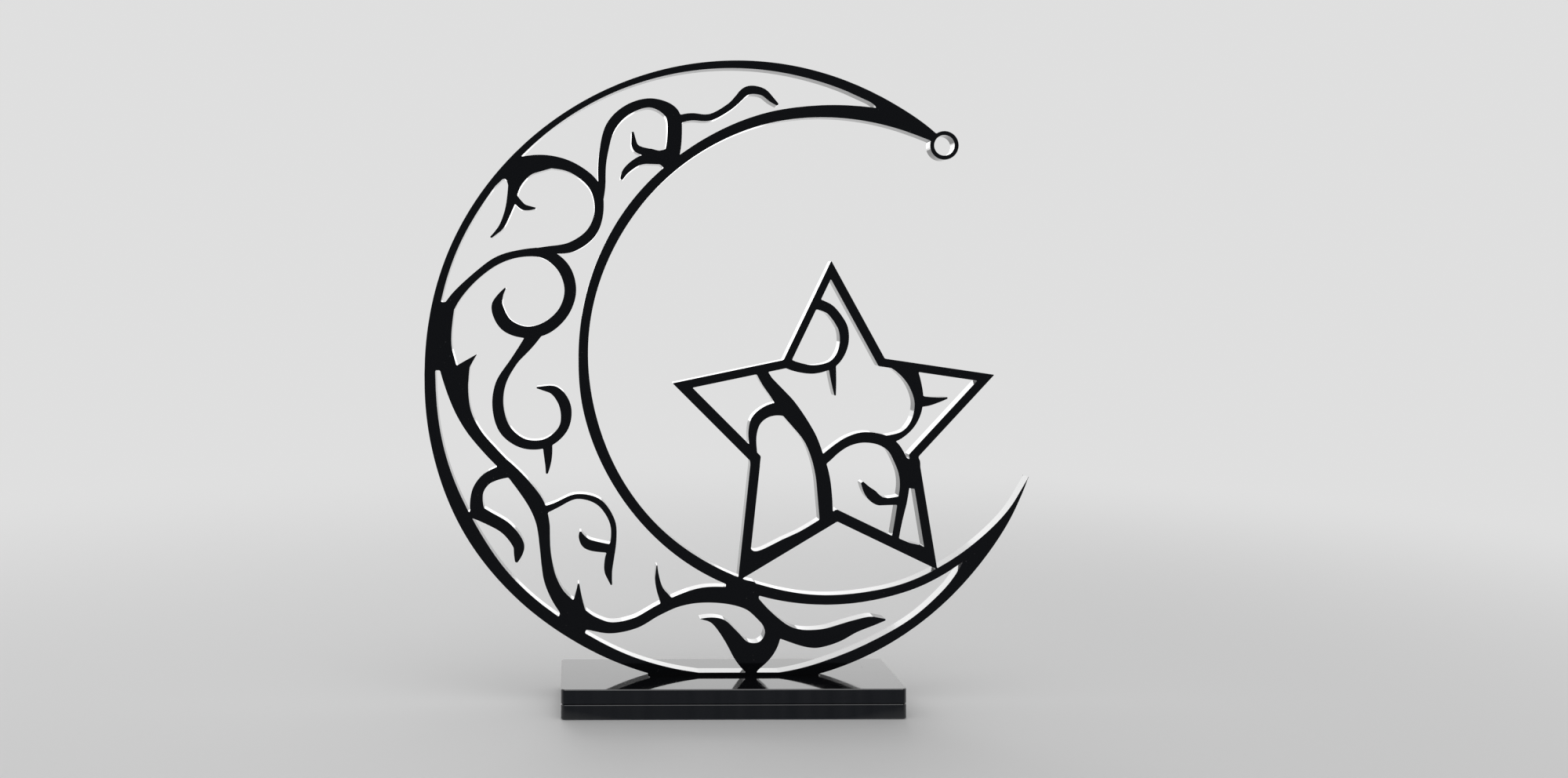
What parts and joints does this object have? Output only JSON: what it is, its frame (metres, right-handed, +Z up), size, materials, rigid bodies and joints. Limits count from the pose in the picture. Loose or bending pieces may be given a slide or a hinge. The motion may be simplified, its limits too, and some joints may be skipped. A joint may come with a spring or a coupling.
{
  "type": "moon and star car decoration",
  "caption": "Crescent moon with a star and scrollwork, cut from black acrylic sheet, standing upright in a slotted rectangular base for a dashboard or shelf.",
  "frame": {"origin": "centre of the base's underside, on the surface that the ornament stands on", "axes": "+Z up the ornament, +X to the right along the base's length, with the crescent open to +X, -Y towards the side the ornament faces, through the sheet's thickness"},
  "size_m": [0.1157, 0.019, 0.1232],
  "materials": {
    "black_acrylic": "polished black acrylic sheet with glossy cut edges"
  },
  "bodies": {
    "base": {"base_bottom_layer": "black_acrylic", "base_top_layer": "black_acrylic"},
    "ornament": {"moon_and_star_plate": "black_acrylic"}
  },
  "joints": [
    {"name": "ornament_lift", "type": "slide", "parent": "base", "child": "ornament", "axis": [0, 0, 1], "range_m": [0, 0.012]}
  ]
}
